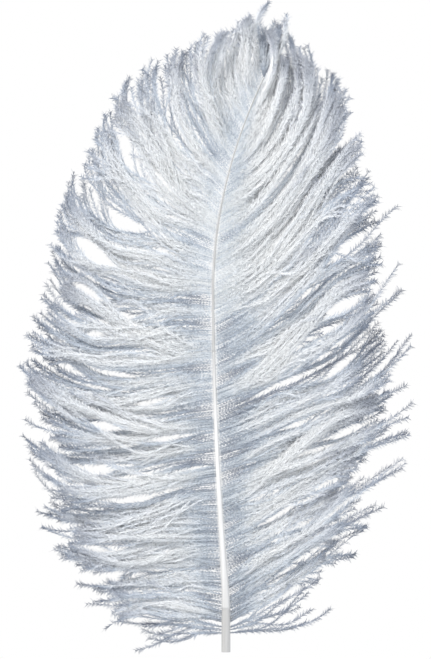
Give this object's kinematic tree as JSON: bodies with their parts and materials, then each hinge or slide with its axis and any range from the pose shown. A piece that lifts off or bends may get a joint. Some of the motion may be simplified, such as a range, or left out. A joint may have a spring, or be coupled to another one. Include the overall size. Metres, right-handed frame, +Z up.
{
  "type": "ostrich feather plume",
  "caption": "Upright white ostrich plume: a hollow cut quill, a tapering shaft that bends fore and aft, and two vanes of long curling locks of barbs.",
  "frame": {"origin": "centre of the quill's cut end", "axes": "+Z up the quill to the crown, +X across the vanes to the right as the front is seen, +Y to the back"},
  "size_m": [0.2097, 0.0309, 0.358],
  "materials": {
    "quill_keratin": "satin, faintly streaked along its length",
    "shaft_keratin": "satin, with a highlight down the middle",
    "pith": "dry, chalky foam",
    "white_barbs": "silky white down with pale blue-grey shadows",
    "loose_barbs": "sparse single barbs, slightly greyer"
  },
  "bodies": {
    "base_length": {"quill": "quill_keratin", "pith_plug": "pith", "shaft_skin_base": "shaft_keratin", "shaft_pith_base": "pith", "left_lock_01": "white_barbs", "left_lock_02": "white_barbs", "left_lock_03": "white_barbs", "left_lock_04": "white_barbs", "left_lock_05": "white_barbs", "left_lock_06": "white_barbs", "left_lock_07": "white_barbs", "right_lock_01": "white_barbs", "right_lock_02": "white_barbs", "right_lock_03": "white_barbs", "right_lock_04": "white_barbs", "right_lock_05": "white_barbs", "right_lock_06": "white_barbs", "right_lock_07": "white_barbs", "left_base_strands": "loose_barbs", "right_base_strands": "loose_barbs"},
    "middle_length": {"shaft_skin_middle": "shaft_keratin", "shaft_pith_middle": "pith", "left_lock_08": "white_barbs", "left_lock_09": "white_barbs", "left_lock_10": "white_barbs", "left_lock_11": "white_barbs", "left_lock_12": "white_barbs", "left_lock_13": "white_barbs", "right_lock_08": "white_barbs", "right_lock_09": "white_barbs", "right_lock_10": "white_barbs", "right_lock_11": "white_barbs", "right_lock_12": "white_barbs", "right_lock_13": "white_barbs"},
    "upper_length": {"shaft_skin_upper": "shaft_keratin", "shaft_pith_upper": "pith", "left_lock_14": "white_barbs", "left_lock_15": "white_barbs", "left_lock_16": "white_barbs", "left_lock_17": "white_barbs", "right_lock_14": "white_barbs", "right_lock_15": "white_barbs", "right_lock_16": "white_barbs", "right_lock_17": "white_barbs"},
    "tip_length": {"shaft_skin_tip": "shaft_keratin", "left_lock_18": "white_barbs", "left_lock_19": "white_barbs", "left_lock_20": "white_barbs", "right_lock_18": "white_barbs", "right_lock_19": "white_barbs", "right_lock_20": "white_barbs", "crown_lock_1": "white_barbs", "crown_lock_2": "white_barbs", "crown_lock_3": "white_barbs", "crown_lock_4": "white_barbs"}
  },
  "joints": [
    {"name": "lower_bend", "type": "hinge", "parent": "base_length", "child": "middle_length", "pos_m": [-0.00538, -0.00133, 0.1217], "axis": [1, 0, 0], "range_deg": [-8, 8], "stiffness_Nm_per_rad": 0.05},
    {"name": "middle_bend", "type": "hinge", "parent": "middle_length", "child": "upper_length", "pos_m": [-0.00689, -0.00492, 0.2123], "axis": [1, 0, 0], "range_deg": [-15, 15], "stiffness_Nm_per_rad": 0.02},
    {"name": "tip_bend", "type": "hinge", "parent": "upper_length", "child": "tip_length", "pos_m": [0.00341, -0.00859, 0.2727], "axis": [1, 0, 0], "range_deg": [-25, 25], "stiffness_Nm_per_rad": 0.006}
  ]
}
